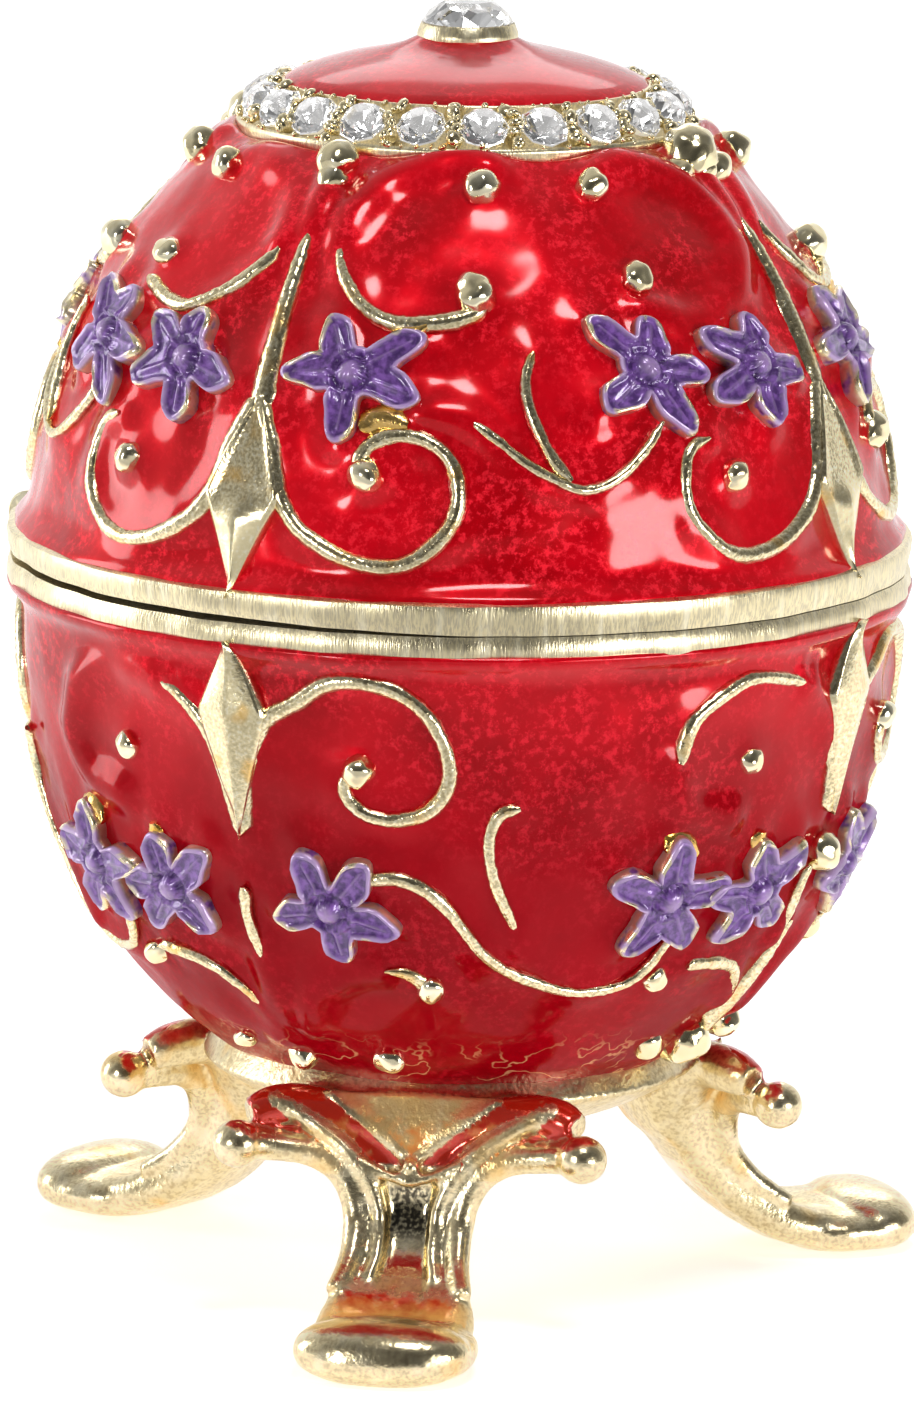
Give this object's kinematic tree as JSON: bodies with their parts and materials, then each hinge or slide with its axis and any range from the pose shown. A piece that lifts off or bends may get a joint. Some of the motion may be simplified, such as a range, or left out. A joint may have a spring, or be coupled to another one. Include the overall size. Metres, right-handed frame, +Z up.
{
  "type": "egg trinket box",
  "caption": "Egg-shaped trinket box on three scrolled legs, with a hinged lid, raised scrolls and flowers, a band of set stones and a crown stone.",
  "frame": {"origin": "middle of the footprint's box on the floor under the three feet", "axes": "+Z up along the egg's axis, +Y towards the hinge at the back, the lid opens at -Y"},
  "size_m": [0.042, 0.0432, 0.0589],
  "materials": {
    "enamelled_shell": "gloss red enamel over pale gold plated casting, with raised gilt scrolls",
    "gilt_casting": "pale gold plate, bright and slightly pebbled",
    "crystal": "clear faceted crystal with a silvered back"
  },
  "bodies": {
    "base": {"egg_base": "enamelled_shell", "stand": "gilt_casting", "hinge_pin": "gilt_casting"},
    "lid": {"egg_lid": "enamelled_shell", "crown_crystal": "crystal", "ring_crystal_01": "crystal", "ring_crystal_02": "crystal", "ring_crystal_03": "crystal", "ring_crystal_04": "crystal", "ring_crystal_05": "crystal", "ring_crystal_06": "crystal", "ring_crystal_07": "crystal", "ring_crystal_08": "crystal", "ring_crystal_09": "crystal", "ring_crystal_10": "crystal", "ring_crystal_11": "crystal", "ring_crystal_12": "crystal", "ring_crystal_13": "crystal", "ring_crystal_14": "crystal", "ring_crystal_15": "crystal", "ring_crystal_16": "crystal", "ring_crystal_17": "crystal", "ring_crystal_18": "crystal", "ring_crystal_19": "crystal", "ring_crystal_20": "crystal", "ring_crystal_21": "crystal"}
  },
  "joints": [
    {"name": "lid_hinge", "type": "hinge", "parent": "base", "child": "lid", "pos_m": [0.00053, 0.0202, 0.0337], "axis": [-1, 0, 0], "range_deg": [0, 100]}
  ]
}
